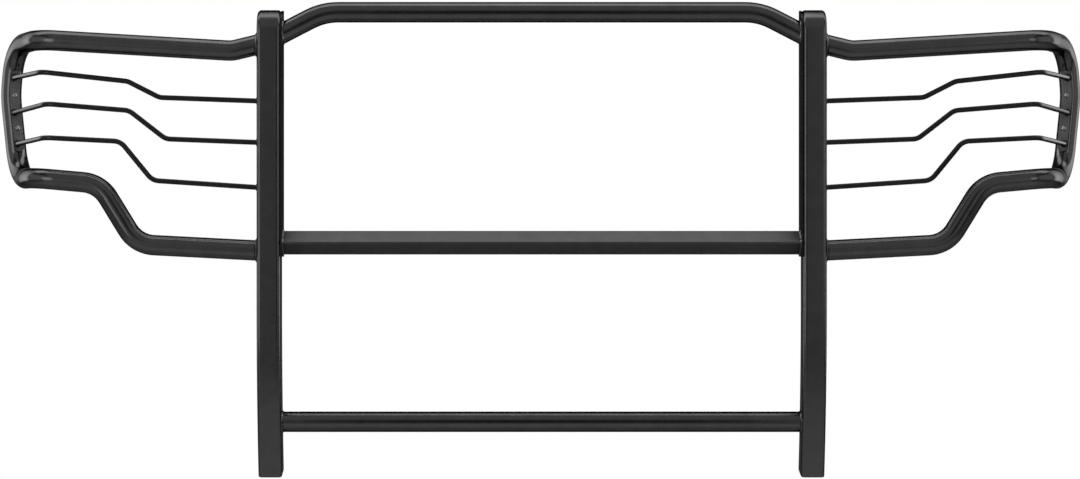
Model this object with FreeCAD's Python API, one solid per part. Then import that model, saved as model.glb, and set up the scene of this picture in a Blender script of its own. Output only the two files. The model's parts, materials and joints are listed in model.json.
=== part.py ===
import FreeCAD, Part

"""Front grille guard for a pickup truck, welded from bent tube, box tube and rod.

Millimetres. +X is the guard's right as seen in front of it, +Y points back to
the truck and +Z is up. The origin is the centre of the rectangle of four
mounting holes, on the guard's centre plane, in the plane of the mounting
plates' rear faces. The guard is symmetrical about X = 0: each side piece is
made on the +X side and mirrored.
"""

import math
import os

from FreeCAD import Vector

# --- Uprights: two box tubes with a rounded top and a foot that curves back ---
UPRIGHT_SPACING = 1010.0        # centre to centre
UPRIGHT_WIDTH = 44.0
UPRIGHT_DEPTH = 50.0
UPRIGHT_WALL = 3.0
UPRIGHT_CORNER_RADIUS = 7.0
UPRIGHT_TOP = 627.5             # height above the mounting centre
UPRIGHT_FOOT_DROP = 314.0       # length of the stretch that curves back
FOOT_CURVE_START = 81.0         # height where that stretch starts
FOOT_CURVE_RADIUS = 1400.0
NOSE_RADIUS = 38.0              # the front face rolls back over this radius at the top
FOOT_CAP_THICKNESS = 4.0
FOOT_CAP_EDGE_RADIUS = 2.5

# --- Inner side plates, where the two upper crossbars land ---
SIDE_PLATE_THICKNESS = 3.2
SIDE_PLATE_DEPTH = 45.0
SIDE_PLATE_EDGE_MARGIN = 1.0    # from the rounded top of the upright
SIDE_PLATE_BELOW_BAR = 4.0      # how far it runs on below the middle crossbar

# --- Crossbars ---
TUBE_DIAMETER = 38.1            # one and a half inches
TUBE_WALL = 2.4
TOP_BAR_BELOW_TOP = 5.0         # its centre line, below the tops of the uprights
TOP_BAR_FALL_RUN = 74.5         # from where the bar turns down to the side plate
TOP_BAR_DROP = 38.5             # how far its ends come down at the side plates
TOP_BAR_BEND_RADIUS = 115.0
MIDDLE_BAR_HEIGHT = 195.0
MIDDLE_BAR_SIDE = 32.5          # square tube set on its edge
MIDDLE_BAR_CORNER_RADIUS = 2.5
MIDDLE_BAR_WALL = 2.5
LOWER_BAR_HEIGHT = -138.5

# --- Headlight hoops: out is outboard of the upright, rise and drop are from the root ---
HOOP_BEND_RADIUS = 60.0
HOOP_TOP_ROOT_DROP = 65.0       # the upper root, below the top of the upright
HOOP_FOOT_ROOT_DROP = 14.5      # the lower root, below the middle crossbar
HOOP_KNEE_OUT = 47.0
HOOP_KNEE_DROP = 11.5
HOOP_TOP_WRAP_RISE = 9.5
HOOP_TOP_END_RISE = 5.5
HOOP_REACH = 471.6              # out to the corner at the top of the outer end
HOOP_WRAP_DEPTH = 108.0         # how far the outer end stands behind the front run
HOOP_TOP_WRAP_RUN = 63.0        # how much of the reach is left where the tube turns back
HOOP_BOW_OUT = 8.0              # the outer end bows out by this, past the reach
HOOP_BOW_DROP = 95.0            # below the corner at the top of the outer end
HOOP_BOW_RADIUS = 230.0
HOOP_FOOT_TUCK = 8.0            # the outer end's foot stands inboard of its top by this
HOOP_FOOT_WRAP_RUN = 48.0
HOOP_FOOT_END_RISE = 134.5
HOOP_FOOT_WRAP_RISE = 135.0
HOOP_CHEEK_OUT = 293.0
HOOP_CHEEK_RISE = 124.0
HOOP_STEP_OUT = 224.0
HOOP_STEP_RISE = 11.5

# --- Rods across the headlight openings: out as above, rises from the rod's own root ---
ROD_DIAMETER = 9.5
ROD_BEND_RADIUS = 28.0
UPPER_ROD_ROOT_DROP = 104.6     # below the hoop's upper root
UPPER_ROD_INNER_OUT = 182.0
UPPER_ROD_INNER_RISE = 6.5
UPPER_ROD_OUTER_OUT = 241.0
UPPER_ROD_OUTER_RISE = 36.5
UPPER_ROD_WRAP_OUT = 401.0
UPPER_ROD_WRAP_RISE = 54.0
UPPER_ROD_END_DROP = 61.2       # along the hoop's outer end, from its top corner
MIDDLE_ROD_ROOT_LIFT = 3.3      # above the middle between the other two roots
MIDDLE_ROD_INNER_OUT = 170.5
MIDDLE_ROD_INNER_RISE = 6.5
MIDDLE_ROD_OUTER_OUT = 238.5
MIDDLE_ROD_OUTER_RISE = 59.2
MIDDLE_ROD_WRAP_OUT = 392.0
MIDDLE_ROD_WRAP_RISE = 71.7
MIDDLE_ROD_END_DROP = 4.0       # below the middle between the other two ends
LOWER_ROD_ROOT_RISE = 117.0     # above the hoop's lower root
LOWER_ROD_INNER_OUT = 195.0
LOWER_ROD_INNER_RISE = 13.0
LOWER_ROD_OUTER_OUT = 254.5
LOWER_ROD_OUTER_RISE = 85.5
LOWER_ROD_WRAP_OUT = 395.5
LOWER_ROD_WRAP_RISE = 92.5
LOWER_ROD_END_RISE = 66.3       # along the hoop's outer end, from its foot corner

# --- The strip on the hoop's outer end that carries the rods' ends ---
STRIP_WIDTH = 19.0
STRIP_THICKNESS = 5.0
STRIP_OVERHANG = 14.5           # past the outermost rods
STRIP_END_FLAT = 1.0            # what the rounding leaves of its ends
STRIP_TURN = 27.0               # degrees, from facing forward towards the middle
ROD_END_OFFSET = 4.0            # rods land this far outboard of the strip's centre line
ROD_END_SINK = 1.7              # how deep their cut ends are let into the strip's face
SCREW_DIAMETER = 6.0
SCREW_LENGTH = 14.0
SCREW_HEAD_DIAMETER = 11.0
SCREW_HEAD_HEIGHT = 3.4
SCREW_SOCKET_ACROSS_FLATS = 4.0
SCREW_SOCKET_DEPTH = 2.0

# --- Mounting arms on the backs of the uprights ---
STAND_OFF = 120.0               # uprights' front faces to the mounting plane
ARM_WIDTH = 30.0
ARM_HEIGHT = 150.0
ARM_WALL = 4.0
PLATE_SIDE_MARGIN = 3.5         # of the plate around the arm
PLATE_END_MARGIN = 8.0
PLATE_THICKNESS = 6.0
PLATE_CORNER_RADIUS = 6.0
MOUNT_HOLE_DIAMETER = 13.5      # clears an M12 bolt
MOUNT_HOLE_RISE = 100.0         # between the two holes of a plate
NUT_ACROSS_FLATS = 18.0
NUT_HEIGHT = 10.0
NUT_BORE_DIAMETER = 10.4        # M12 thread, at its minor diameter

# --- Worked-out places ---
FRONT_Y = -STAND_OFF
BACK_Y = FRONT_Y + UPRIGHT_DEPTH
MIDDLE_Y = FRONT_Y + UPRIGHT_DEPTH / 2
INNER_X = (UPRIGHT_SPACING - UPRIGHT_WIDTH) / 2
OUTER_X = (UPRIGHT_SPACING + UPRIGHT_WIDTH) / 2
SIDE_PLATE_X = INNER_X - SIDE_PLATE_THICKNESS
TOP_BAR_HEIGHT = UPRIGHT_TOP - TOP_BAR_BELOW_TOP
HOOP_TOP_ROOT_HEIGHT = UPRIGHT_TOP - HOOP_TOP_ROOT_DROP
HOOP_FOOT_ROOT_HEIGHT = MIDDLE_BAR_HEIGHT - HOOP_FOOT_ROOT_DROP
ARM_CENTRE_X = OUTER_X - ARM_WIDTH / 2
TUBE_RADIUS = TUBE_DIAMETER / 2
BORE_RADIUS = TUBE_RADIUS - TUBE_WALL
ROD_RADIUS = ROD_DIAMETER / 2
ROOT_EXTRA = 12.0               # tubes start this far inside and are trimmed at the joint
WORLD = 4000.0                  # larger than the guard, for trimming blocks
SAME_LENGTH = 0.01              # edges this close in length are the same

X_AXIS = Vector(1, 0, 0)
Y_AXIS = Vector(0, 1, 0)
Z_AXIS = Vector(0, 0, 1)


# --- Bent bars: straight runs joined by arcs, each an exact cylinder or torus ---

class Run:
    """A straight stretch of a path."""

    def __init__(self, start, end):
        self.start = start
        self.tangent = (end - start).normalize()
        self.length = (end - start).Length

    def at(self, distance):
        return self.start + self.tangent * distance, self.tangent

    def part(self, low, high):
        return Run(self.at(low)[0], self.at(high)[0])

    def sweep(self, face):
        return face.extrude(self.tangent * self.length)


class Bend:
    """A circular arc of a path, turning about an axis through its centre."""

    def __init__(self, start, tangent, centre, axis, angle):
        self.start = start
        self.tangent = tangent
        self.centre = centre
        self.axis = axis
        self.angle = angle
        self.length = (start - centre).Length * angle

    def at(self, distance):
        turn = FreeCAD.Rotation(self.axis, math.degrees(self.angle * distance / self.length))
        return self.centre + turn.multVec(self.start - self.centre), turn.multVec(self.tangent)

    def part(self, low, high):
        start, tangent = self.at(low)
        return Bend(start, tangent, self.centre, self.axis, self.angle * (high - low) / self.length)

    def sweep(self, face):
        return face.revolve(self.centre, self.axis, math.degrees(self.angle))


def bent_path(corners, radii):
    """Runs and bends through the corners, with one radius for each inner corner."""
    stretches = []
    start = corners[0]
    for corner, following, radius in zip(corners[1:], corners[2:], radii):
        before = (corner - start).normalize()
        after = (following - corner).normalize()
        angle = before.getAngle(after)
        reach = radius * math.tan(angle / 2)
        bend_start = corner - before * reach
        axis = before.cross(after).normalize()
        centre = bend_start + axis.cross(before) * radius
        stretches.append(Run(start, bend_start))
        stretches.append(Bend(bend_start, before, centre, axis, angle))
        start = corner + after * reach
    stretches.append(Run(start, corners[-1]))
    return stretches


def point_along(path, distance):
    """The point and the tangent at a distance from the start of a path."""
    for stretch in path[:-1]:
        if distance <= stretch.length:
            return stretch.at(distance)
        distance -= stretch.length
    return path[-1].at(distance)


def path_length(path):
    return sum(stretch.length for stretch in path)


def part_of(path, start, end):
    """The path between two distances from its start."""
    kept = []
    for stretch in path:
        low = max(start, 0.0)
        high = min(end, stretch.length)
        if low < high:
            kept.append(stretch.part(low, high))
        start -= stretch.length
        end -= stretch.length
    return kept


def swept(path, section):
    """One solid: section(point, tangent) gives the face that each stretch carries along."""
    solids = [stretch.sweep(section(*stretch.at(0))) for stretch in path]
    return solids[0].multiFuse(solids[1:]).removeSplitter().Solids[0]


def disc(radius):
    """The section of a solid bar."""
    def section(point, tangent):
        return Part.Face(Part.Wire(Part.makeCircle(radius, point, tangent)))
    return section


def ring(radius, bore):
    """The section of a tube."""
    def section(point, tangent):
        return disc(radius)(point, tangent).cut(disc(bore)(point, tangent)).Faces[0]
    return section


# --- Small helpers ---

def block(low, high):
    """A box between two opposite corners."""
    size = high - low
    return Part.makeBox(size.x, size.y, size.z, low)


def largest(shape):
    """The largest solid of a trimmed shape."""
    return max(shape.Solids, key=lambda solid: solid.Volume)


def keep_outboard(shape, x):
    """The part of a shape on the far side of a plane square to X, away from the middle."""
    return largest(shape.cut(block(Vector(-WORLD, -WORLD, -WORLD), Vector(x, WORLD, WORLD))))


def keep_between(shape, x):
    """The part of a shape between -x and +x."""
    return largest(shape.common(block(Vector(-x, -WORLD, -WORLD), Vector(x, WORLD, WORLD))))


def rounded_rectangle(centre, across, up, width, height, radius):
    """A face with rounded corners, width along across and height along up."""
    def place(a, b):
        return centre + across * a + up * b

    half_w, half_h = width / 2, height / 2
    in_w, in_h = half_w - radius, half_h - radius
    slant = radius * math.sqrt(0.5)
    edges = []
    for sa, sb in ((1, 1), (-1, 1), (-1, -1), (1, -1)):
        arc_on_side = place(sa * half_w, sb * in_h)
        arc_middle = place(sa * (in_w + slant), sb * (in_h + slant))
        arc_on_end = place(sa * in_w, sb * half_h)
        points = (arc_on_side, arc_middle, arc_on_end)
        if sa * sb < 0:
            points = points[::-1]
        edges.append(Part.Arc(*points).toShape())
    joined = []
    for edge, following in zip(edges, edges[1:] + edges[:1]):
        joined.append(edge)
        joined.append(Part.makeLine(edge.lastVertex(True).Point, following.firstVertex(True).Point))
    return Part.Face(Part.Wire(joined))


def hexagon(centre, across_flats, up, side):
    """A six-sided face, with two flats square to side."""
    corner_radius = across_flats / math.sqrt(3)
    corners = []
    for step in range(7):
        angle = math.radians(30 + 60 * step)
        corners.append(centre + side * (corner_radius * math.cos(angle)) + up * (corner_radius * math.sin(angle)))
    return Part.Face(Part.makePolygon(corners))


def mirrored(shape):
    """The same piece on the other side of the guard."""
    return shape.mirror(Vector(0, 0, 0), X_AXIS)


# --- Uprights ---

def upright_section(height, inset):
    """The upright's section at a height, set in by a wall."""
    return rounded_rectangle(
        Vector(UPRIGHT_SPACING / 2, MIDDLE_Y, height), X_AXIS, Y_AXIS,
        UPRIGHT_WIDTH - 2 * inset, UPRIGHT_DEPTH - 2 * inset, UPRIGHT_CORNER_RADIUS - inset)


def foot_curve():
    """The upright's lower stretch: the axis it curves about and the angle it turns."""
    centre = Vector(0, MIDDLE_Y + FOOT_CURVE_RADIUS, FOOT_CURVE_START)
    angle = math.degrees(math.asin(UPRIGHT_FOOT_DROP / FOOT_CURVE_RADIUS))
    return centre, angle


def upright_body(inset):
    """The upright below its nose: a straight stretch and the curved one, set in by a wall."""
    nose_start = UPRIGHT_TOP - NOSE_RADIUS
    straight = upright_section(FOOT_CURVE_START, inset).extrude(Z_AXIS * (nose_start - FOOT_CURVE_START))
    centre, angle = foot_curve()
    foot = upright_section(FOOT_CURVE_START, inset).revolve(centre, X_AXIS, angle)
    return straight.fuse(foot).removeSplitter().Solids[0]


def upright_nose(inset):
    """The rounded top: the section's front rolls over a quarter turn and runs on to the back."""
    nose_start = UPRIGHT_TOP - NOSE_RADIUS
    roll_y = FRONT_Y + NOSE_RADIUS
    front = block(Vector(0, -WORLD, -WORLD), Vector(WORLD, roll_y, WORLD))
    front_section = upright_section(nose_start, inset).common(front).Faces[0]
    roll = front_section.revolve(Vector(0, roll_y, nose_start), X_AXIS, -90)
    end_section = front_section.copy()
    end_section.rotate(Vector(0, roll_y, nose_start), X_AXIS, -90)
    rear_run = end_section.extrude(Y_AXIS * (BACK_Y - inset - roll_y))
    column = upright_section(nose_start, inset).extrude(Z_AXIS * NOSE_RADIUS)
    return roll.fuse(rear_run).common(column).removeSplitter().Solids[0]


def make_upright():
    return upright_body(0).cut(upright_body(UPRIGHT_WALL))


def make_top_cap():
    """A pressed cap that closes the upright with the same rounded edges."""
    return upright_nose(0).cut(upright_nose(UPRIGHT_WALL))


def make_foot_cap():
    """A plate across the open lower end, square to the curve there."""
    centre, angle = foot_curve()
    face = upright_section(FOOT_CURVE_START, 0)
    cap = face.extrude(Z_AXIS * -FOOT_CAP_THICKNESS)
    lower_edges = [edge for edge in cap.Edges if edge.BoundBox.ZMax < FOOT_CURVE_START - FOOT_CAP_THICKNESS / 2]
    cap = cap.makeFillet(FOOT_CAP_EDGE_RADIUS, lower_edges)
    cap.rotate(centre, X_AXIS, angle)
    return cap


def make_side_plate():
    """A flat bar on the upright's inner side, with its top rounded like the cap."""
    half_depth = SIDE_PLATE_DEPTH / 2
    top = UPRIGHT_TOP - SIDE_PLATE_EDGE_MARGIN
    foot = MIDDLE_BAR_HEIGHT - middle_bar_half_height() - SIDE_PLATE_BELOW_BAR
    low = Vector(SIDE_PLATE_X, MIDDLE_Y - half_depth, foot)
    plate = block(low, Vector(INNER_X, MIDDLE_Y + half_depth, top))
    radius = NOSE_RADIUS - SIDE_PLATE_EDGE_MARGIN
    corner = Vector(SIDE_PLATE_X, low.y, top - radius)
    square = block(corner, corner + Vector(SIDE_PLATE_THICKNESS, radius, radius))
    round_off = Part.makeCylinder(radius, SIDE_PLATE_THICKNESS, corner + Y_AXIS * radius, X_AXIS)
    return plate.cut(square.cut(round_off))


# --- Crossbars ---

def make_top_crossbar():
    """Level between its shoulders, then down to the side plates."""
    shoulder_x = SIDE_PLATE_X - TOP_BAR_FALL_RUN
    end_x = SIDE_PLATE_X + ROOT_EXTRA
    end_z = TOP_BAR_HEIGHT - TOP_BAR_DROP * (end_x - shoulder_x) / TOP_BAR_FALL_RUN
    corners = [Vector(-end_x, MIDDLE_Y, end_z),
               Vector(-shoulder_x, MIDDLE_Y, TOP_BAR_HEIGHT),
               Vector(shoulder_x, MIDDLE_Y, TOP_BAR_HEIGHT),
               Vector(end_x, MIDDLE_Y, end_z)]
    bar = swept(bent_path(corners, [TOP_BAR_BEND_RADIUS] * 2), ring(TUBE_RADIUS, BORE_RADIUS))
    return keep_between(bar, SIDE_PLATE_X)


def middle_bar_half_height():
    """Half the height of the square tube across its rounded edges."""
    return MIDDLE_BAR_SIDE * math.sqrt(0.5) - MIDDLE_BAR_CORNER_RADIUS * (math.sqrt(2) - 1)


def make_middle_crossbar():
    """A square tube on its edge, so that one face looks up and one looks down."""
    across = Vector(0, math.sqrt(0.5), math.sqrt(0.5))
    up = Vector(0, -math.sqrt(0.5), math.sqrt(0.5))
    centre = Vector(-SIDE_PLATE_X, MIDDLE_Y, MIDDLE_BAR_HEIGHT)
    inside = MIDDLE_BAR_SIDE - 2 * MIDDLE_BAR_WALL
    outer = rounded_rectangle(centre, across, up, MIDDLE_BAR_SIDE, MIDDLE_BAR_SIDE, MIDDLE_BAR_CORNER_RADIUS)
    inner = rounded_rectangle(centre, across, up, inside, inside, MIDDLE_BAR_CORNER_RADIUS / 2)
    return outer.cut(inner).Faces[0].extrude(X_AXIS * (2 * SIDE_PLATE_X))


def make_lower_crossbar():
    """A straight tube between the uprights' inner sides."""
    start = Vector(-INNER_X, MIDDLE_Y + foot_set_back(LOWER_BAR_HEIGHT), LOWER_BAR_HEIGHT)
    return ring(TUBE_RADIUS, BORE_RADIUS)(start, X_AXIS).extrude(X_AXIS * (2 * INNER_X))


def foot_set_back(height):
    """How far the upright's centre line has curved back at a height."""
    drop = max(0.0, FOOT_CURVE_START - height)
    return FOOT_CURVE_RADIUS - math.sqrt(FOOT_CURVE_RADIUS ** 2 - drop ** 2)


# --- Headlight hoops, rods and strips, made on the +X side ---

def outboard(out, height, back=0.0):
    """A point outboard of the upright, in the plane of the tubes or behind it."""
    return Vector(OUTER_X + out, MIDDLE_Y + back, height)


def beyond(point, towards, distance):
    """The point moved on in the direction away from another point."""
    return point + (point - towards).normalize() * distance


def hoop_outer_corners():
    """The corners of the hoop's outer end, from the top down."""
    top = HOOP_TOP_ROOT_HEIGHT + HOOP_TOP_END_RISE
    return [outboard(HOOP_REACH, top, HOOP_WRAP_DEPTH),
            outboard(HOOP_REACH + HOOP_BOW_OUT, top - HOOP_BOW_DROP, HOOP_WRAP_DEPTH),
            outboard(HOOP_REACH - HOOP_FOOT_TUCK, HOOP_FOOT_ROOT_HEIGHT + HOOP_FOOT_END_RISE, HOOP_WRAP_DEPTH)]


def hoop_tube():
    """The hoop's tube: out from the upright, round the fender, down, back and in again."""
    top, foot = HOOP_TOP_ROOT_HEIGHT, HOOP_FOOT_ROOT_HEIGHT
    top_root = outboard(0, top)
    knee = outboard(HOOP_KNEE_OUT, top - HOOP_KNEE_DROP)
    step = outboard(HOOP_STEP_OUT, foot + HOOP_STEP_RISE)
    foot_root = outboard(0, foot)
    corners = [beyond(top_root, knee, ROOT_EXTRA),
               knee,
               outboard(HOOP_REACH - HOOP_TOP_WRAP_RUN, top + HOOP_TOP_WRAP_RISE),
               *hoop_outer_corners(),
               outboard(HOOP_REACH - HOOP_FOOT_TUCK - HOOP_FOOT_WRAP_RUN, foot + HOOP_FOOT_WRAP_RISE),
               outboard(HOOP_CHEEK_OUT, foot + HOOP_CHEEK_RISE),
               step,
               beyond(foot_root, step, ROOT_EXTRA)]
    radii = [HOOP_BEND_RADIUS] * 3 + [HOOP_BOW_RADIUS] + [HOOP_BEND_RADIUS] * 4
    hoop = swept(bent_path(corners, radii), ring(TUBE_RADIUS, BORE_RADIUS))
    return keep_outboard(hoop, OUTER_X)


def outer_end():
    """The line of the hoop's outer end, from corner to corner, that the strip lies along."""
    return bent_path(hoop_outer_corners(), [HOOP_BOW_RADIUS])


def rod_end_distances():
    """Where the rods land along the hoop's outer end, from the top down."""
    upper = UPPER_ROD_END_DROP
    lower = path_length(outer_end()) - LOWER_ROD_END_RISE
    middle = (upper + lower) / 2 + MIDDLE_ROD_END_DROP
    return upper, middle, lower


def strip_directions(tangent):
    """The strip's outward normal and, square to it, the direction across it to the outside."""
    turn = math.radians(STRIP_TURN)
    inward = Y_AXIS.cross(tangent).normalize()
    if inward.x > 0:
        inward = inward * -1
    normal = Y_AXIS * -math.cos(turn) + inward * math.sin(turn)
    across = Y_AXIS * -math.sin(turn) - inward * math.cos(turn)
    return normal, across


def strip_place(distance):
    """The point on the strip's face at a distance down the outer end, and the directions there."""
    point, tangent = point_along(outer_end(), distance)
    normal, across = strip_directions(tangent)
    return point + normal * (TUBE_RADIUS + STRIP_THICKNESS), normal, across


def make_rod_strip(screw_places):
    """A flat bar along the tube, with round ends and two screw holes."""
    def section(point, tangent):
        normal, across = strip_directions(tangent)
        centre = point + normal * (TUBE_RADIUS + STRIP_THICKNESS / 2)
        half = across * (STRIP_WIDTH / 2)
        thick = normal * (STRIP_THICKNESS / 2)
        corners = [centre - half - thick, centre + half - thick, centre + half + thick, centre - half + thick]
        return Part.Face(Part.makePolygon(corners + corners[:1]))

    ends = rod_end_distances()
    path = part_of(outer_end(), min(ends) - STRIP_OVERHANG, max(ends) + STRIP_OVERHANG)
    strip = swept(path, section)
    end_edges = [edge for edge in strip.Edges if abs(edge.Length - STRIP_THICKNESS) < SAME_LENGTH]
    strip = strip.makeFillet((STRIP_WIDTH - STRIP_END_FLAT) / 2, end_edges)
    for place, normal, _ in screw_places:
        strip = strip.cut(screw_shank(place, normal))
    return strip


def screw_shank(place, normal):
    """The screw's shank, from the strip's face through the tube's wall."""
    return Part.makeCylinder(SCREW_DIAMETER / 2, SCREW_LENGTH, place, normal * -1)


def make_screw(place, normal, across):
    """A button-head screw with a hexagon socket."""
    head_radius = SCREW_HEAD_DIAMETER / 2
    dome_radius = (head_radius ** 2 + SCREW_HEAD_HEIGHT ** 2) / (2 * SCREW_HEAD_HEIGHT)
    dome = Part.makeSphere(dome_radius, place - normal * (dome_radius - SCREW_HEAD_HEIGHT))
    head = dome.common(Part.makeCylinder(head_radius, SCREW_HEAD_HEIGHT, place, normal))
    top = place + normal * SCREW_HEAD_HEIGHT
    socket_face = hexagon(top, SCREW_SOCKET_ACROSS_FLATS, normal.cross(across), across)
    socket = socket_face.extrude(normal * -SCREW_SOCKET_DEPTH)
    return head.fuse(screw_shank(place, normal)).cut(socket).removeSplitter().Solids[0]


def make_rod(root_height, end_distance, *cranks):
    """A rod from the upright, cranked past the headlight and turned back to the strip."""
    place, normal, across = strip_place(end_distance)
    turns = [outboard(out, root_height + rise) for out, rise in cranks]
    corners = [beyond(outboard(0, root_height), turns[0], ROOT_EXTRA),
               *turns,
               place + across * ROD_END_OFFSET - normal * ROD_END_SINK]
    rod = swept(bent_path(corners, [ROD_BEND_RADIUS] * len(turns)), disc(ROD_RADIUS))
    return keep_outboard(rod, OUTER_X)


def make_rods():
    """The three rods of a side, by name."""
    upper_root = HOOP_TOP_ROOT_HEIGHT - UPPER_ROD_ROOT_DROP
    lower_root = HOOP_FOOT_ROOT_HEIGHT + LOWER_ROD_ROOT_RISE
    middle_root = (upper_root + lower_root) / 2 + MIDDLE_ROD_ROOT_LIFT
    upper_end, middle_end, lower_end = rod_end_distances()
    return {
        "upper_rod": make_rod(upper_root, upper_end,
                              (UPPER_ROD_INNER_OUT, UPPER_ROD_INNER_RISE),
                              (UPPER_ROD_OUTER_OUT, UPPER_ROD_OUTER_RISE),
                              (UPPER_ROD_WRAP_OUT, UPPER_ROD_WRAP_RISE)),
        "middle_rod": make_rod(middle_root, middle_end,
                               (MIDDLE_ROD_INNER_OUT, MIDDLE_ROD_INNER_RISE),
                               (MIDDLE_ROD_OUTER_OUT, MIDDLE_ROD_OUTER_RISE),
                               (MIDDLE_ROD_WRAP_OUT, MIDDLE_ROD_WRAP_RISE)),
        "lower_rod": make_rod(lower_root, lower_end,
                              (LOWER_ROD_INNER_OUT, LOWER_ROD_INNER_RISE),
                              (LOWER_ROD_OUTER_OUT, LOWER_ROD_OUTER_RISE),
                              (LOWER_ROD_WRAP_OUT, LOWER_ROD_WRAP_RISE)),
    }


def screw_places():
    """One screw halfway between each two neighbouring rods."""
    ends = rod_end_distances()
    return [strip_place((above + below) / 2) for above, below in zip(ends, ends[1:])]


# --- Mounting arms, plates and weld nuts, made on the +X side ---

def make_mount_arm():
    """A box tube from the upright's back to the mounting plate, cut to the back's curve."""
    start_y = BACK_Y - UPRIGHT_CORNER_RADIUS
    end_y = -PLATE_THICKNESS
    outer = block(Vector(ARM_CENTRE_X - ARM_WIDTH / 2, start_y, -ARM_HEIGHT / 2),
                  Vector(ARM_CENTRE_X + ARM_WIDTH / 2, end_y, ARM_HEIGHT / 2))
    inner = block(Vector(ARM_CENTRE_X - ARM_WIDTH / 2 + ARM_WALL, start_y, -ARM_HEIGHT / 2 + ARM_WALL),
                  Vector(ARM_CENTRE_X + ARM_WIDTH / 2 - ARM_WALL, end_y, ARM_HEIGHT / 2 - ARM_WALL))
    return outer.cut(inner).cut(upright_body(0)).Solids[0]


def mount_hole_centres():
    return [Vector(ARM_CENTRE_X, 0, side * MOUNT_HOLE_RISE / 2) for side in (-1, 1)]


def make_mount_plate():
    """The flat plate that meets the truck's frame bracket."""
    face = rounded_rectangle(Vector(ARM_CENTRE_X, -PLATE_THICKNESS, 0), X_AXIS, Z_AXIS,
                             ARM_WIDTH + 2 * PLATE_SIDE_MARGIN, ARM_HEIGHT + 2 * PLATE_END_MARGIN,
                             PLATE_CORNER_RADIUS)
    plate = face.extrude(Y_AXIS * PLATE_THICKNESS)
    for centre in mount_hole_centres():
        start = centre - Y_AXIS * PLATE_THICKNESS
        plate = plate.cut(Part.makeCylinder(MOUNT_HOLE_DIAMETER / 2, PLATE_THICKNESS, start, Y_AXIS))
    return plate


def make_weld_nuts():
    """Captive nuts on the hidden side of the mounting plate."""
    nuts = []
    for centre in mount_hole_centres():
        seat = centre - Y_AXIS * PLATE_THICKNESS
        nut = hexagon(seat, NUT_ACROSS_FLATS, Z_AXIS, X_AXIS).extrude(Y_AXIS * -NUT_HEIGHT)
        nuts.append(nut.cut(Part.makeCylinder(NUT_BORE_DIAMETER / 2, NUT_HEIGHT, seat, Y_AXIS * -1)))
    return Part.makeCompound(nuts)


# --- The assembly ---

def side_pieces():
    """Every piece of the +X side, by name."""
    places = screw_places()
    strip = make_rod_strip(places)
    hoop = hoop_tube()
    for place, normal, _ in places:
        hoop = hoop.cut(screw_shank(place, normal))
    pieces = {
        "upright": make_upright(),
        "top_cap": make_top_cap(),
        "foot_cap": make_foot_cap(),
        "side_plate": make_side_plate(),
        "headlight_hoop": hoop,
        "rod_strip": strip,
        "strip_screws": Part.makeCompound([make_screw(*place) for place in places]),
        "mount_arm": make_mount_arm(),
        "mount_plate": make_mount_plate(),
        "weld_nuts": make_weld_nuts(),
    }
    for name, rod in make_rods().items():
        pieces[name] = largest(rod.cut(strip))
    return pieces


def main():
    os.makedirs("parts", exist_ok=True)
    pieces = {
        "top_crossbar": make_top_crossbar(),
        "middle_crossbar": make_middle_crossbar(),
        "lower_crossbar": make_lower_crossbar(),
    }
    for name, shape in side_pieces().items():
        pieces["right_" + name] = shape
        pieces["left_" + name] = mirrored(shape)
    for name, shape in pieces.items():
        shape.exportStep("parts/" + name + ".step")
        box = shape.BoundBox
        print("%-24s %d solid(s) %10.0f mm3  x %7.1f %7.1f  y %7.1f %7.1f  z %7.1f %7.1f  valid %s" % (
            name, len(shape.Solids), shape.Volume, box.XMin, box.XMax, box.YMin, box.YMax,
            box.ZMin, box.ZMax, shape.isValid()))


main()
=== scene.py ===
import json
import math
from collections import namedtuple

import bpy
import numpy as np
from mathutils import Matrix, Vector, geometry
from mathutils.bvhtree import BVHTree


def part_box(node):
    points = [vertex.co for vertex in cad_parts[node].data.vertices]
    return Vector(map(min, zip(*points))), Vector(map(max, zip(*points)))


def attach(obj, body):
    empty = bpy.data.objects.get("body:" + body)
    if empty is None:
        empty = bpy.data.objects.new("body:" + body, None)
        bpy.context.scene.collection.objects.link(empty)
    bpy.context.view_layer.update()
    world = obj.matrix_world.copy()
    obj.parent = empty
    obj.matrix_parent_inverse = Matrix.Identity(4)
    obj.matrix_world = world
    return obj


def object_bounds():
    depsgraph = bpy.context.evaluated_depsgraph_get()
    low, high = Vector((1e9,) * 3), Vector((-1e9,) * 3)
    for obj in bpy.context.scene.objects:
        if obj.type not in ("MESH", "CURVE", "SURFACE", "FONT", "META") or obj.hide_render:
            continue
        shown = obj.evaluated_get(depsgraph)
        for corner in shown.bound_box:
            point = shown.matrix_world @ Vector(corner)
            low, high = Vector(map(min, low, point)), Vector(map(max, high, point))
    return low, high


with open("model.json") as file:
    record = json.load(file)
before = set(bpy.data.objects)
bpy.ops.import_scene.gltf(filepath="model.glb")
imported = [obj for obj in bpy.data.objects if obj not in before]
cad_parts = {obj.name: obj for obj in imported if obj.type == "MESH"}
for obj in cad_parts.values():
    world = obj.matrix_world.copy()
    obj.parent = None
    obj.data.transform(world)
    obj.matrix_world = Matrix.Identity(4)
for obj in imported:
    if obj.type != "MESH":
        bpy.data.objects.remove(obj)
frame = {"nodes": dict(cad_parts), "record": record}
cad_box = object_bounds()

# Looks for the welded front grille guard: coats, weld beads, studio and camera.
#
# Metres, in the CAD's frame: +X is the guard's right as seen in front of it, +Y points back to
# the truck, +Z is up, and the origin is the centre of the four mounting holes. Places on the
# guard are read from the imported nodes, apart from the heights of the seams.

MM = 0.001

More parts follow.
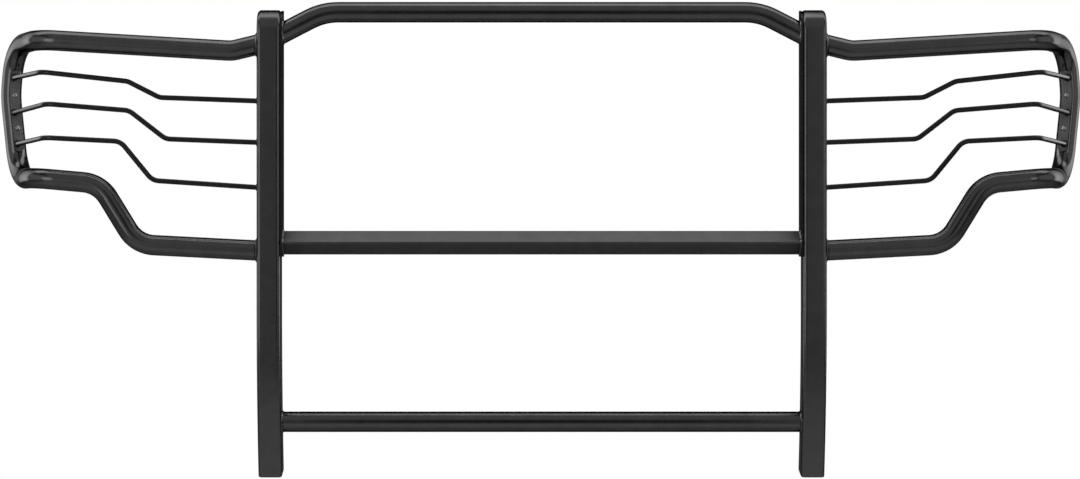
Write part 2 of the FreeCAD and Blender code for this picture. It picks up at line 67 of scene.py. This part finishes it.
# --- Photograph, with the lens and the camera's place solved from the bends of the hoops ---
IMAGE_WIDTH_PX = 1080
IMAGE_HEIGHT_PX = 479
FOCAL_PX = 2439.0               # focal length in pixels
AXIS_X_PX = 506.0               # where the lens axis meets the picture
AXIS_Y_PX = 240.0
SENSOR_WIDTH_MM = 36.0
CAMERA_PLACE = Vector((-0.066, -4.62, 0.200))

# --- Coats: the lowest and highest shine of the black coat and of its darker copy, which is painted shade ---
BLACK = ((0.046, 0.046, 0.047), (0.054, 0.054, 0.055))
# painted shade: the same black coat made darker, for the rods and the side plates
SHADE_PAINTED_BLACK = ((0.016, 0.016, 0.017), (0.021, 0.021, 0.022))

# Each powder coat's shine, range of roughness, depth of orange peel and of the steel's waves,
# rounding of sharp edges, and tint where the surface turns away. The box tubes' edges need no
# rounding here, because the CAD has it.
POWDER_COATS = {
    "box_tube_coat": dict(shine=BLACK, gloss=(0.20, 0.27), peel=0.03 * MM, wave=0.20 * MM,
                          rounding=0, edge=0.08),
    "round_tube_coat": dict(shine=BLACK, gloss=(0.17, 0.23), peel=0.03 * MM, wave=0.12 * MM,
                            rounding=0.5 * MM, edge=0.45),
    # the rods' black is painted shade, a darker copy of the coat
    "rod_coat": dict(shine=SHADE_PAINTED_BLACK, gloss=(0.17, 0.23), peel=0.02 * MM, wave=0.06 * MM,
                     rounding=0.5 * MM, edge=0.80),
    "plate_coat": dict(shine=BLACK, gloss=(0.22, 0.30), peel=0.03 * MM, wave=0.15 * MM,
                       rounding=0.8 * MM, edge=0.08),
    "crossbar_coat": dict(shine=BLACK, gloss=(0.17, 0.23), peel=0.03 * MM, wave=0.12 * MM,
                          rounding=0.5 * MM, edge=0.08),
    "middle_bar_coat": dict(shine=BLACK, gloss=(0.30, 0.37), peel=0.03 * MM, wave=0.10 * MM,
                            rounding=0.5 * MM, edge=0.08),
    # painted shade: the side plates' coat is the plates' black made darker
    "side_plate_shade_painted_coat": dict(shine=SHADE_PAINTED_BLACK, gloss=(0.22, 0.30), peel=0.03 * MM, wave=0.15 * MM,
                            rounding=0.8 * MM, edge=0.08),
}

# Each plated steel's darkest and lightest tint, and range of roughness
PLATED_STEELS = {
    "screw_steel": dict(tint=((0.10, 0.10, 0.11), (0.20, 0.20, 0.20)), gloss=(0.25, 0.43)),
    "nut_steel": dict(tint=((0.42, 0.41, 0.38), (0.60, 0.60, 0.58)), gloss=(0.30, 0.48)),
}

# Nodes with a coat other than their slot's, by how the photograph shows them; the side plates' coat
# is painted shade, the plates' black made darker
OWN_FINISHES = {
    "top_crossbar": "crossbar_coat",
    "middle_crossbar": "middle_bar_coat",
    "lower_crossbar": "crossbar_coat",
    "left_side_plate": "side_plate_shade_painted_coat",
    "right_side_plate": "side_plate_shade_painted_coat",
}

# --- Noise patterns in the finishes: how many fit in a metre ---
SHINE_CLOUDS = 35
GLOSS_CLOUDS = 90
STEEL_WAVES = 22
ORANGE_PEEL = 420
TINT_CLOUDS = 260
PLATING_CLOUDS = 900
SCRATCHES = 2600

# --- Other settings of the finishes ---
NOISE_RANGE = (0.3, 0.7)        # a noise pattern seldom leaves it
SCRATCH_DEPTH = 0.02 * MM
BEVEL_SAMPLES = 6
GRAZING_RANGE = (0.75, 0.92)    # how far a surface turns away where its outline grows rougher
GRAZING_ROUGHNESS = 0.45        # added at the outline

# --- Weld beads: their leg, the distance between their ripples, and their slot ---
Weld = namedtuple("Weld", "leg pitch slot")
TUBE_RIPPLE_PITCH = 3.2 * MM
ROD_RIPPLE_PITCH = 2.2 * MM
BAR_WELD = Weld(3.4 * MM, TUBE_RIPPLE_PITCH, "round_tube_coat")
HOOP_WELD = Weld(4.4 * MM, TUBE_RIPPLE_PITCH, "round_tube_coat")
ROD_ROOT_WELD = Weld(3.2 * MM, ROD_RIPPLE_PITCH, "rod_coat")
ROD_END_WELD = Weld(2.56 * MM, ROD_RIPPLE_PITCH, "rod_coat")
SEAM_WELD = Weld(2.6 * MM, ROD_RIPPLE_PITCH, "plate_coat")
PLATE_WELD = Weld(2.8 * MM, TUBE_RIPPLE_PITCH, "box_tube_coat")
ARM_WELD = Weld(4.0 * MM, TUBE_RIPPLE_PITCH, "box_tube_coat")
ARM_WELD_SHARE = 0.75           # of the arm's width, for the beads at its top and foot
SEAM_LENGTH = 90 * MM
SEAM_HEIGHTS = (0.570, 0.420, 0.270)    # middles of the seams behind the side plates
SEAM_OUTBOARD = 0.50            # slope of the upright's rounded corner, where the seams lie
SEAM_BACK = 0.87
WELD_BITE = 0.4 * MM            # how far a bead's edges sink into the steel
BEAD_HOLLOW = 0.17              # of the leg: how far a bead's middle lies inside a quarter circle
RIPPLE_HEIGHT = 0.11            # of the leg
RIPPLE_BOW = 0.45               # how far a ripple's middle is shifted from its ends, in ripples
SWELLS = ((0.07, 2.3 / 3, 0), (0.05, 1.7, 1))   # share of the leg, radians per ripple, start
STEPS_PER_RIPPLE = 7
PROFILE_STEPS = 8
SMOOTHED_STATIONS = 3           # to each side, that a bead's outward direction is averaged over
ON_PLANE = 0.3 * MM             # a vertex this near a joint lies on it
END_REACH = 1.5                 # how far round an end its sides are looked for, in its radii

# --- Studio ---
FLOOR_HEIGHT = -0.75            # the guard hangs from its mounts at its height on a truck
FLOOR_RADIUS = 5.0
FLOOR_OPAQUE_RADIUS = 4.2
FLOOR_COLOUR = (0.50, 0.50, 0.49, 1)
FLOOR_ROUGHNESS = 0.9
WALL_GREY = 0.13
BACKDROP_ASIDE = 0.25           # half the white backdrop's width and height, for each metre away
BACKDROP_UP = 0.11
BACKDROP_FADE = 0.05            # the width of its soft edge, on the same scale
END_SPREAD = math.radians(110)  # keeps the end lamps' light off the floor

# Each lamp's name, place, target, width, height and watts, and its spread if that is narrow
LAMPS = (
    # the light bands along the bars, from above and from the front
    ("overhead_lamp", (0, 0.06, 1.9), (0, 0.06, 0), 4.4, 1.0, 54),
    ("front_lamp", (0, -2.1, 2.43), (0, -0.1, 0.2), 4.4, 3.0, 27),
    # the bars' undersides, from just above the floor
    ("low_lamp", (0, -1.55, -0.73), (0, -1.55, 0), 4.4, 2.1, 8),
    # mirrored in the fronts of the uprights
    ("left_fill_lamp", (-1.25, -3.1, 0.35), (-1.25, 0, 0.35), 1.1, 1.9, 4),
    ("right_fill_lamp", (1.3, -3.1, 0.35), (1.3, 0, 0.35), 1.1, 1.9, 4),
    # the uprights' rounded corners
    ("left_lamp", (-2.3, -2.8, 0.45), (-0.5, -0.1, 0.3), 1.1, 1.8, 21),
    ("right_lamp", (2.1, -3.0, 0.8), (-0.3, -0.1, 0.3), 0.7, 1.4, 8),
    # the hoops' outer ends, from the front and from behind
    ("left_side_lamp", (-3.3, -1.5, 0.9), (-0.9, 0, 0.4), 2.4, 2.6, 19),
    ("right_side_lamp", (3.3, -1.5, 0.9), (0.9, 0, 0.4), 2.4, 2.6, 19),
    ("left_end_lamp", (-3.4, 1.0, 1.4), (-0.9, 0, 1.4), 2.4, 3.6, 60, END_SPREAD),
    ("right_end_lamp", (3.4, 1.0, 1.4), (0.9, 0, 1.4), 2.4, 3.6, 60, END_SPREAD),
)


# --- Node helpers ---

def new_material(name):
    """A node material, with its Principled shader."""
    material = bpy.data.materials.new(name)
    material.use_nodes = True
    return material, material.node_tree.nodes["Principled BSDF"]


def add_node(tree, kind, settings=None, **inputs):
    """A shader node with settings, and with input values by name, where _ stands for a space."""
    node = tree.nodes.new(kind)
    for name, value in (settings or {}).items():
        setattr(node, name, value)
    for name, value in inputs.items():
        node.inputs[name.replace("_", " ")].default_value = value
    return node


def calculate(tree, operation, first, second=0.0, third=0.0):
    """The result of a math node, from linked values or numbers."""
    node = add_node(tree, "ShaderNodeMath", {"operation": operation})
    for socket, value in zip(node.inputs, (first, second, third)):
        if isinstance(value, float):
            socket.default_value = value
        else:
            tree.links.new(value, socket)
    return node.outputs["Value"]


def map_range(tree, value, source, result, interpolation="LINEAR"):
    """A value moved from one range to another, and kept within it."""
    node = add_node(tree, "ShaderNodeMapRange", {"interpolation_type": interpolation},
                    From_Min=source[0], From_Max=source[1], To_Min=result[0], To_Max=result[1])
    tree.links.new(value, node.inputs["Value"])
    return node.outputs["Result"]


def noise(tree, position, scale, detail):
    """The grey value of a noise pattern in object space."""
    node = add_node(tree, "ShaderNodeTexNoise", Scale=scale, Detail=detail)
    tree.links.new(position, node.inputs["Vector"])
    return node.outputs["Fac"]


def clouds(tree, position, scale, detail, result):
    """A noise pattern that fills the range of results."""
    return map_range(tree, noise(tree, position, scale, detail), NOISE_RANGE, result)


def blend_colours(tree, factor, low, high):
    """A colour between two, by a factor from 0 to 1."""
    node = add_node(tree, "ShaderNodeMix", {"data_type": "RGBA"})
    node.inputs["A"].default_value = (*low, 1)
    node.inputs["B"].default_value = (*high, 1)
    tree.links.new(factor, node.inputs["Factor"])
    return node.outputs["Result"]


def bump(tree, height, distance, normal=None):
    """A surface normal that a height pattern tilts, on top of another normal if there is one."""
    node = add_node(tree, "ShaderNodeBump", Strength=1.0, Distance=distance)
    tree.links.new(height, node.inputs["Height"])
    if normal:
        tree.links.new(normal, node.inputs["Normal"])
    return node.outputs["Normal"]


# --- Materials ---

def powder_coat(name, shine, gloss, peel, wave, rounding, edge):
    """Semi-gloss black powder coat: orange peel, slow waves of the steel, uneven gloss.

    A metallic shader's colour is its shine seen square on, and a tint below white keeps the
    shine low where the surface turns away, which leaves the dark outlines of the photograph.
    """
    material, shader = new_material(name)
    tree = material.node_tree
    position = tree.nodes.new("ShaderNodeTexCoord").outputs["Object"]
    cloud = clouds(tree, position, SHINE_CLOUDS, detail=4, result=(0, 1))
    tree.links.new(blend_colours(tree, cloud, *shine), shader.inputs["Base Color"])
    uneven = clouds(tree, position, GLOSS_CLOUDS, detail=5, result=gloss)
    facing = tree.nodes.new("ShaderNodeLayerWeight").outputs["Facing"]
    grazing = map_range(tree, facing, GRAZING_RANGE, (0, GRAZING_ROUGHNESS))
    tree.links.new(calculate(tree, "ADD", uneven, grazing), shader.inputs["Roughness"])
    rounded = None
    if rounding:
        bevel = add_node(tree, "ShaderNodeBevel", {"samples": BEVEL_SAMPLES}, Radius=rounding)
        rounded = bevel.outputs["Normal"]
    waves = bump(tree, noise(tree, position, STEEL_WAVES, detail=1), wave, rounded)
    orange_peel = bump(tree, noise(tree, position, ORANGE_PEEL, detail=2), peel, waves)
    tree.links.new(orange_peel, shader.inputs["Normal"])
    shader.inputs["Metallic"].default_value = 1.0
    shader.inputs["Specular Tint"].default_value = (edge, edge, edge, 1)
    return material


def plated_steel(name, tint, gloss):
    """Zinc-plated steel with fine scratches and a cloudy tint."""
    material, shader = new_material(name)
    tree = material.node_tree
    position = tree.nodes.new("ShaderNodeTexCoord").outputs["Object"]
    cloud = clouds(tree, position, TINT_CLOUDS, detail=4, result=(0, 1))
    tree.links.new(blend_colours(tree, cloud, *tint), shader.inputs["Base Color"])
    uneven = clouds(tree, position, PLATING_CLOUDS, detail=3, result=gloss)
    tree.links.new(uneven, shader.inputs["Roughness"])
    scratches = bump(tree, noise(tree, position, SCRATCHES, detail=6), SCRATCH_DEPTH)
    tree.links.new(scratches, shader.inputs["Normal"])
    shader.inputs["Metallic"].default_value = 1.0
    return material


def make_coats():
    """The guard's finishes by name: one for each slot of the record, and those of OWN_FINISHES."""
    coats = {name: powder_coat(name, **look) for name, look in POWDER_COATS.items()}
    coats.update((name, plated_steel(name, **look)) for name, look in PLATED_STEELS.items())
    return coats


def dress_nodes(coats):
    """Gives every CAD node a finish of its own, or the one of its slot."""
    for subpart in frame["record"]["subparts"]:
        finish = OWN_FINISHES.get(subpart["node"], subpart["material_slot"])
        mesh = frame["nodes"][subpart["node"]].data
        mesh.materials.clear()
        mesh.materials.append(coats[finish])


# --- Reading the nodes ---

def mean(vectors):
    """The middle of some places."""
    return sum(vectors, Vector()) / len(vectors)


def surface_of(node):
    """A node's surface, for finding the points on it that are nearest or in a line of sight."""
    mesh = node.data
    return BVHTree.FromPolygons([vertex.co for vertex in mesh.vertices],
                                [tuple(face.vertices) for face in mesh.polygons])


def outline_on_plane(node, point, normal, half=0):
    """The outer outline where a node meets a plane; a half of 1 or -1 is its upper or lower half."""
    middle = sum(vertex.co.z for vertex in node.data.vertices) / len(node.data.vertices)
    ring = []
    for vertex in node.data.vertices:
        if abs((vertex.co - point).dot(normal)) < ON_PLANE and (vertex.co.z - middle) * half >= 0:
            ring.append(vertex.co)
    across = normal.orthogonal().normalized()
    up = normal.cross(across)
    flat = [(place.dot(across), place.dot(up)) for place in ring]
    return [ring[index].copy() for index in geometry.convex_hull_2d(flat)]


def side_direction(node, corners, point, normal):
    """The direction of the sides of a node's end, away from the plane that it meets."""
    centre = mean(corners)
    reach = END_REACH * max((corner - centre).length for corner in corners)
    sides = []
    for face in node.data.polygons:
        places = [node.data.vertices[index].co for index in face.vertices]
        gaps = [abs((place - point).dot(normal)) for place in places]
        near = min((place - centre).length for place in places) < reach
        if near and min(gaps) < ON_PLANE < max(gaps):
            sides.append(face.normal * face.area)
    _, _, rows = np.linalg.svd(np.array(sides))
    direction = Vector(rows[-1])    # the one that all the sides' normals are square to
    return direction if direction.dot(normal) > 0 else -direction


def seat_on(node, carrier):
    """The middle of the place where a node touches its carrier, and the carrier's normal there."""
    surface = surface_of(carrier)
    places, normals = [], []
    for vertex in node.data.vertices:
        _, normal, _, distance = surface.find_nearest(vertex.co)
        if distance < ON_PLANE:
            places.append(vertex.co)
            normals.append(normal)
    return mean(places), mean(normals).normalized()


# --- Weld beads ---

def evenly_spaced(corners, pitch, closed):
    """Points at even distances along a line of corners, and the number of ripples that fit."""
    line = corners + corners[:1] if closed else corners
    lengths = [(b - a).length for a, b in zip(line, line[1:])]
    marks = np.concatenate([[0], np.cumsum(lengths)])
    ripples = max(1, round(marks[-1] / pitch))
    wanted = np.linspace(0, marks[-1], ripples * STEPS_PER_RIPPLE, endpoint=not closed)
    axes = [np.interp(wanted, marks, [corner[axis] for corner in line]) for axis in range(3)]
    return [Vector(place) for place in zip(*axes)], ripples


def outward_directions(places, normal):
    """The direction out of a closed line at each of its places, smoothed over its neighbours."""
    centre = mean(places)
    sharp = []
    for before, place, after in zip(places[-1:] + places[:-1], places, places[1:] + places[:1]):
        outward = (after - before).cross(normal).normalized()
        sharp.append(outward if outward.dot(place - centre) > 0 else -outward)
    steps = range(-SMOOTHED_STATIONS, SMOOTHED_STATIONS + 1)
    return [mean([sharp[(index + step) % len(sharp)] for step in steps]).normalized()
            for index in range(len(sharp))]


class Welder:
    """Lays rippled beads of weld metal on the guard, none of them in front of its front face."""

    def __init__(self, coats):
        self.nodes = frame["nodes"]
        self.coats = coats
        self.front = cad_box[0][1]

    def profile(self, point, along_plate, along_tube, leg, phase):
        """One row of a bead's surface, from the plate to the tube; phase counts the ripples."""
        row = []
        for step in range(PROFILE_STEPS + 1):
            angle = math.pi / 2 * step / PROFILE_STEPS
            crown = math.sin(2 * angle)
            ripple = (phase + RIPPLE_BOW * crown) % 1
            reach = leg * (1 - BEAD_HOLLOW * crown + RIPPLE_HEIGHT * crown * ripple ** 2)
            place = (point + along_plate * (reach * math.cos(angle) - WELD_BITE * math.sin(angle))
                     + along_tube * (reach * math.sin(angle) - WELD_BITE * math.cos(angle)))
            place.y = max(place.y, self.front)
            row.append(place)
        return row

    def bead(self, name, stations, weld, ripples, closed):
        """A fillet along stations of (point, direction on the plate, direction on the tube)."""
        places = []
        for index, station in enumerate(stations):
            phase = index / len(stations) * ripples
            swell = sum(share * math.sin(rate * phase + start) for share, rate, start in SWELLS)
            places.extend(self.profile(*station, weld.leg * (1 + swell), phase))
        width = PROFILE_STEPS + 1
        bands = len(stations) if closed else len(stations) - 1
        faces = []
        for index in range(bands):
            here = index * width
            following = (index + 1) % len(stations) * width
            for step in range(PROFILE_STEPS):
                faces.append((here + step, following + step, following + step + 1, here + step + 1))
        if not closed:
            faces.append(tuple(range(width)))
            faces.append(tuple(reversed(range(bands * width, len(places)))))
        self.add_mesh(name, places, faces, weld.slot)

    def add_mesh(self, name, places, faces, slot):
        """A smooth-shaded piece that rides on the guard."""
        mesh = bpy.data.meshes.new(name)
        mesh.from_pydata(places, [], faces)
        mesh.validate()
        mesh.shade_smooth()
        mesh.materials.append(self.coats[slot])
        piece = bpy.data.objects.new(name, mesh)
        bpy.context.scene.collection.objects.link(piece)
        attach(piece, "root")

    def around_end(self, name, node, point, normal, weld, half=0):
        """A closed bead round the end of a bar, on the plane that it is welded to."""
        corners = outline_on_plane(self.nodes[node], point, normal, half)
        along_tube = side_direction(self.nodes[node], corners, point, normal)
        places, ripples = evenly_spaced(corners, weld.pitch, True)
        outwards = outward_directions(places, normal)
        stations = [(place, outward, along_tube) for place, outward in zip(places, outwards)]
        self.bead(name, stations, weld, ripples, True)

    def along_line(self, name, corners, along_plate, along_tube, weld):
        """An open bead along a straight line."""
        places, ripples = evenly_spaced(corners, weld.pitch, False)
        self.bead(name, [(place, along_plate, along_tube) for place in places], weld, ripples, False)


def weld_crossbars(welder):
    """Beads at both ends of each crossbar."""
    for bar in ("top_crossbar", "middle_crossbar", "lower_crossbar"):
        low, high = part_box(bar)
        for side, end, inwards in (("left", low, 1), ("right", high, -1)):
            normal = Vector((inwards, 0, 0))
            welder.around_end(side + "_weld_" + bar, bar, Vector(end), normal, BAR_WELD)


def weld_side(welder, side, outboard):
    """The beads of one side's hoop, rods, side plate and mounting arm."""
    low, high = (Vector(corner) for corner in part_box(side + "_upright"))
    outer_face, inner_face = (high, low) if outboard.x > 0 else (low, high)
    for name, half in (("upper", 1), ("lower", -1)):
        welder.around_end(side + "_weld_hoop_" + name, side + "_headlight_hoop", outer_face, outboard,
                          HOOP_WELD, half)
    for rod in ("upper_rod", "middle_rod", "lower_rod"):
        node = side + "_" + rod
        welder.around_end(side + "_weld_root_" + rod, node, outer_face, outboard, ROD_ROOT_WELD)
        seat, normal = seat_on(welder.nodes[node], welder.nodes[side + "_rod_strip"])
        welder.around_end(side + "_weld_end_" + rod, node, seat, normal, ROD_END_WELD)
    weld_side_plate(welder, side, outboard, inner_face)
    weld_arm(welder, side, outboard)


def weld_side_plate(welder, side, outboard, inner_face):
    """Three seams between the side plate's rear edge and the upright, out of sight from the front."""
    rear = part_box(side + "_side_plate")[1][1]
    up_the_corner = (outboard * SEAM_OUTBOARD + Vector((0, SEAM_BACK, 0))).normalized()
    half = Vector((0, 0, SEAM_LENGTH / 2))
    for index, height in enumerate(SEAM_HEIGHTS):
        root = Vector((inner_face.x, rear - WELD_BITE, height))
        welder.along_line(side + "_seam_" + str(index), [root - half, root + half],
                          -outboard, up_the_corner, SEAM_WELD)


def weld_arm(welder, side, outboard):
    """Beads between the mounting arm, the upright's back and the mounting plate."""
    arm = side + "_mount_arm"
    low, high = (Vector(corner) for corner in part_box(arm))
    plate_face = Vector(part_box(side + "_mount_plate")[0])
    welder.around_end(side + "_weld_plate", arm, plate_face, Vector((0, -1, 0)), PLATE_WELD)
    surface = surface_of(welder.nodes[side + "_upright"])
    inner_x = low.x if outboard.x > 0 else high.x
    outer_x = inner_x + outboard.x * ARM_WELD_SHARE * (high.x - low.x)
    backwards = Vector((0, 1, 0))

    def on_back(x, z):
        """The place on the upright's back that is straight in front of the arm's rear end."""
        return surface.ray_cast(Vector((x, high.y, z)), -backwards)[0]

    for name, height, away in (("top", high.z, 1), ("foot", low.z, -1)):
        line = [on_back(outer_x, height), on_back(inner_x, height)]
        welder.along_line(side + "_weld_arm_" + name, line, Vector((0, 0, away)), backwards, ARM_WELD)
    line = [on_back(inner_x, low.z), on_back(inner_x, high.z)]
    welder.along_line(side + "_weld_arm_side", line, -outboard, backwards, ARM_WELD)


def make_welds(coats):
    """All the beads of the guard."""
    welder = Welder(coats)
    weld_crossbars(welder)
    weld_side(welder, "left", Vector((-1, 0, 0)))
    weld_side(welder, "right", Vector((1, 0, 0)))


# --- Camera and studio ---

def make_camera():
    """The photograph's camera: level, square to the guard, a little left of its centre plane."""
    data = bpy.data.cameras.new("camera")
    data.sensor_fit = "HORIZONTAL"
    data.sensor_width = SENSOR_WIDTH_MM
    data.lens = FOCAL_PX / IMAGE_WIDTH_PX * SENSOR_WIDTH_MM
    data.shift_x = (IMAGE_WIDTH_PX / 2 - AXIS_X_PX) / IMAGE_WIDTH_PX
    data.shift_y = (AXIS_Y_PX - IMAGE_HEIGHT_PX / 2) / IMAGE_WIDTH_PX
    camera = bpy.data.objects.new("camera", data)
    camera.location = CAMERA_PLACE
    camera.rotation_euler = (math.pi / 2, 0, 0)
    bpy.context.scene.collection.objects.link(camera)
    bpy.context.scene.camera = camera


def softbox(name, place, target, width, height, watts, spread=math.pi):
    """A rectangular lamp at a place, turned to face a target. Spread is the angle it shines in."""
    data = bpy.data.lights.new(name, "AREA")
    data.shape = "RECTANGLE"
    data.size = width
    data.size_y = height
    data.energy = watts
    data.spread = spread
    lamp = bpy.data.objects.new(name, data)
    lamp.location = place
    lamp.rotation_euler = (Vector(target) - Vector(place)).to_track_quat("-Z", "Y").to_euler()
    lamp.visible_camera = False
    bpy.context.scene.collection.objects.link(lamp)


def make_world():
    """Grey studio walls, with a white backdrop that just fills the photograph behind the guard."""
    world = bpy.data.worlds.new("studio")
    world.use_nodes = True
    tree = world.node_tree
    parts = tree.nodes.new("ShaderNodeSeparateXYZ")
    tree.links.new(tree.nodes.new("ShaderNodeTexCoord").outputs["Generated"], parts.inputs["Vector"])
    x, y, z = (parts.outputs[axis] for axis in "XYZ")
    aside = calculate(tree, "MULTIPLY_ADD", y, -BACKDROP_ASIDE, calculate(tree, "ABSOLUTE", x))
    up = calculate(tree, "MULTIPLY_ADD", y, -BACKDROP_UP, calculate(tree, "ABSOLUTE", z))
    past_edge = calculate(tree, "MAXIMUM", aside, up)
    white = map_range(tree, past_edge, (0, BACKDROP_FADE), (1, 0), "SMOOTHSTEP")
    colour = blend_colours(tree, white, (WALL_GREY,) * 3, (1, 1, 1))
    tree.links.new(colour, tree.nodes["Background"].inputs["Color"])
    bpy.context.scene.world = world


def make_floor():
    """A pale floor that fades out towards its edge."""
    mesh = bpy.data.meshes.new("floor")
    corners = ((-1, -1), (1, -1), (1, 1), (-1, 1))
    mesh.from_pydata([(x * FLOOR_RADIUS, y * FLOOR_RADIUS, FLOOR_HEIGHT) for x, y in corners],
                     [], [(0, 1, 2, 3)])
    material, shader = new_material("floor")
    tree = material.node_tree
    shader.inputs["Base Color"].default_value = FLOOR_COLOUR
    shader.inputs["Roughness"].default_value = FLOOR_ROUGHNESS
    distance = add_node(tree, "ShaderNodeVectorMath", {"operation": "LENGTH"})
    tree.links.new(tree.nodes.new("ShaderNodeTexCoord").outputs["Object"], distance.inputs[0])
    opaque = map_range(tree, distance.outputs["Value"], (FLOOR_OPAQUE_RADIUS, FLOOR_RADIUS), (1, 0),
                       "SMOOTHSTEP")
    tree.links.new(opaque, shader.inputs["Alpha"])
    mesh.materials.append(material)
    floor = bpy.data.objects.new("floor", mesh)
    bpy.context.scene.collection.objects.link(floor)


def make_studio():
    """Plain view settings, the walls, the floor and the lamps."""
    bpy.context.scene.view_settings.view_transform = "Standard"
    make_world()
    make_floor()
    for lamp in LAMPS:
        softbox(*lamp)


make_camera()
coats = make_coats()
dress_nodes(coats)
make_welds(coats)
make_studio()
